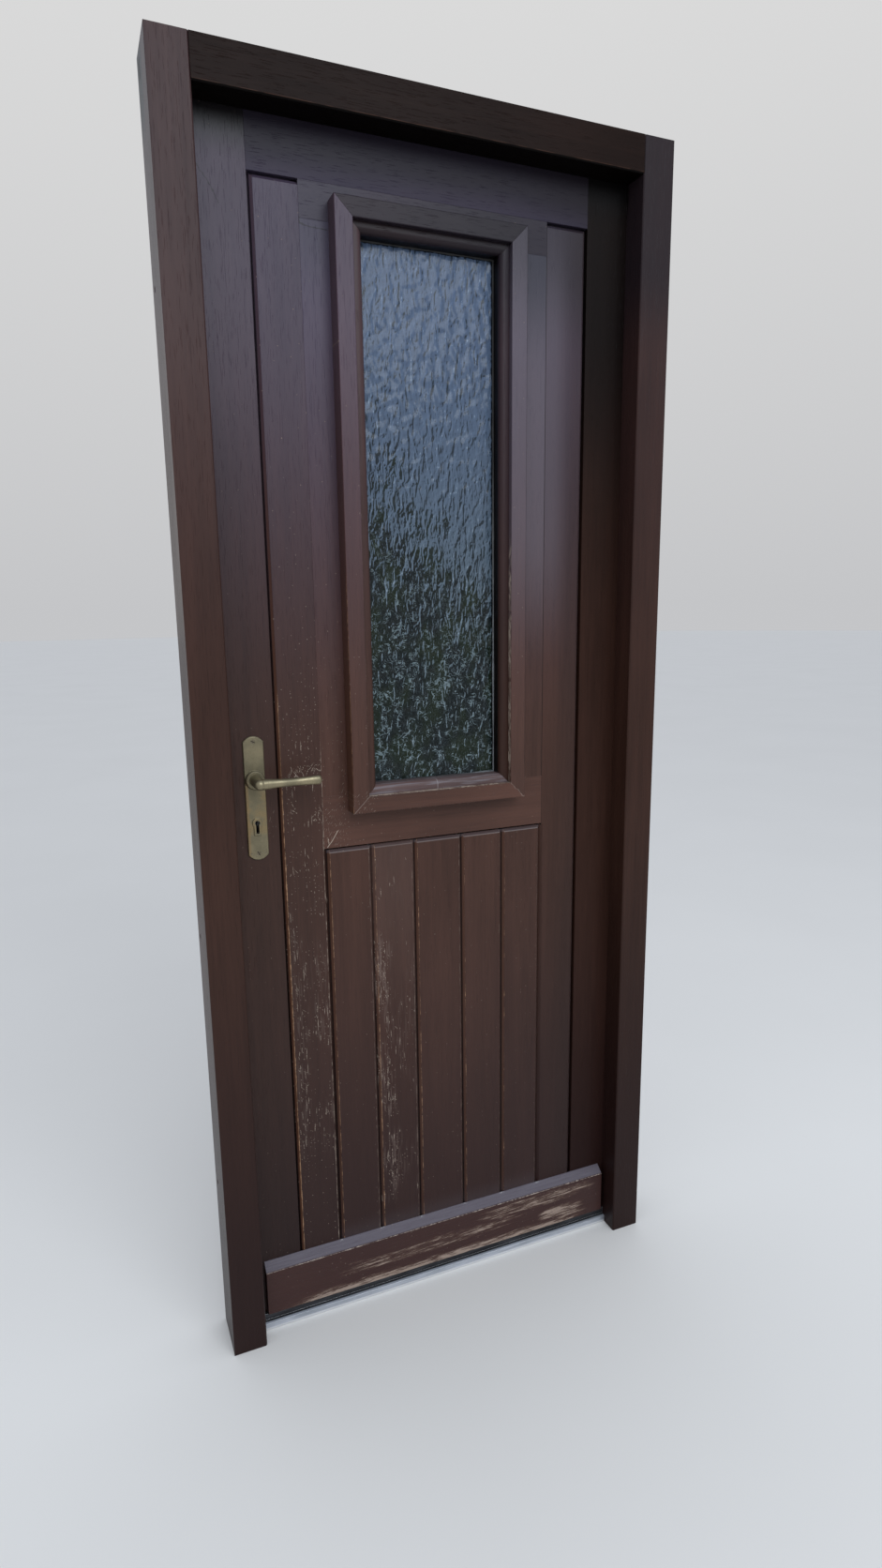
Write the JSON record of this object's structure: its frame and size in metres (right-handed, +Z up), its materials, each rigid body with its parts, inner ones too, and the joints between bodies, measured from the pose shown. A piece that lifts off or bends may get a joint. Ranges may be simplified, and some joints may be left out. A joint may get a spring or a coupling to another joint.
{
  "type": "panelled front door with frame",
  "caption": "Boarded timber front door leaf with a glazed window, lever handles, mortise lock, weatherboard, hinges and rebated frame with threshold.",
  "frame": {"origin": "on the sill, in the middle of the clear width, in the plane of the leaf's outside face", "axes": "+X from the lock side to the hinge side, +Y from outside to inside, +Z up"},
  "size_m": [0.848, 0.156, 2.053],
  "materials": {
    "leaf_wood": "dark stained, satin, worn",
    "frame_wood": "dark stained, satin",
    "weathered_wood": "dark stain worn to bare wood in streaks",
    "textured_glass": "clear, rippled cast surface",
    "aged_brass": "aged, brushed",
    "hinge_steel": "satin, lightly tarnished",
    "lock_steel": "zinc plated",
    "threshold_metal": "mill finish, weathered",
    "seal_rubber": "matt"
  },
  "bodies": {
    "frame": {"lock_jamb": "frame_wood", "hinge_jamb": "frame_wood", "head_jamb": "frame_wood", "threshold": "threshold_metal", "threshold_seal": "seal_rubber", "strike_plate": "lock_steel", "strike_screws": "lock_steel", "hinge_pins": "hinge_steel", "hinge_jamb_screws": "hinge_steel", "hinge_jamb_half_1": "hinge_steel", "hinge_jamb_half_2": "hinge_steel", "hinge_jamb_half_3": "hinge_steel"},
    "leaf": {"board_1": "leaf_wood", "board_2": "leaf_wood", "board_3": "leaf_wood", "board_4": "leaf_wood", "board_5": "leaf_wood", "board_hinge_side": "leaf_wood", "board_lock_side": "leaf_wood", "bottom_rail": "leaf_wood", "forend": "lock_steel", "forend_screws": "lock_steel", "glass_pane": "textured_glass", "hinge_leaf_half_1": "hinge_steel", "hinge_leaf_half_2": "hinge_steel", "hinge_leaf_half_3": "hinge_steel", "hinge_leaf_screws": "hinge_steel", "hinge_stile": "leaf_wood", "inner_bead_bottom": "leaf_wood", "inner_bead_hinge": "leaf_wood", "inner_bead_lock": "leaf_wood", "inner_bead_top": "leaf_wood", "inside_plate": "aged_brass", "latch_spring": "lock_steel", "lock_case": "lock_steel", "lock_cover": "lock_steel", "lock_stile": "leaf_wood", "moulding_bottom": "leaf_wood", "moulding_hinge": "leaf_wood", "moulding_lock": "leaf_wood", "moulding_top": "leaf_wood", "outer_bead_bottom": "leaf_wood", "outer_bead_hinge": "leaf_wood", "outer_bead_lock": "leaf_wood", "outer_bead_top": "leaf_wood", "outside_plate": "aged_brass", "plate_screws": "aged_brass", "top_rail": "leaf_wood", "weatherboard": "weathered_wood", "window_hinge_stile": "leaf_wood", "window_lock_stile": "leaf_wood", "window_mid_rail": "leaf_wood", "window_top_rail": "leaf_wood"},
    "handle_set": {"outside_lever": "aged_brass", "inside_lever": "aged_brass", "spindle": "lock_steel", "follower": "lock_steel"},
    "latch": {"latch_bolt": "lock_steel"},
    "key_bolt": {"dead_bolt": "lock_steel"},
    "key_lever": {"tumbler": "lock_steel"}
  },
  "joints": [
    {"name": "leaf_swing", "type": "hinge", "parent": "frame", "child": "leaf", "pos_m": [0.3805, 0.054, 1.015], "axis": [0, 0, -1], "range_deg": [0, 110]},
    {"name": "handle_turn", "type": "hinge", "parent": "leaf", "child": "handle_set", "pos_m": [-0.324, 0.0225, 1.022], "axis": [0, 1, 0], "range_deg": [0, 45], "stiffness_Nm_per_rad": 1, "springref_deg": -34.38},
    {"name": "latch_slide", "type": "slide", "parent": "leaf", "child": "latch", "axis": [1, 0, 0], "range_m": [0, 0.0127], "deforming": ["latch_spring"]},
    {"name": "bolt_throw", "type": "slide", "parent": "leaf", "child": "key_bolt", "axis": [-1, 0, 0], "range_m": [0, 0.014]},
    {"name": "tumbler_lift", "type": "hinge", "parent": "leaf", "child": "key_lever", "pos_m": [-0.306, 0.0275, 0.992], "axis": [0, 1, 0], "range_deg": [0, 6], "stiffness_Nm_per_rad": 0.05, "springref_deg": -17.19}
  ],
  "couplings": [
    {"joint": "latch_slide", "follows": "handle_turn", "m_per_rad": 0.016}
  ]
}
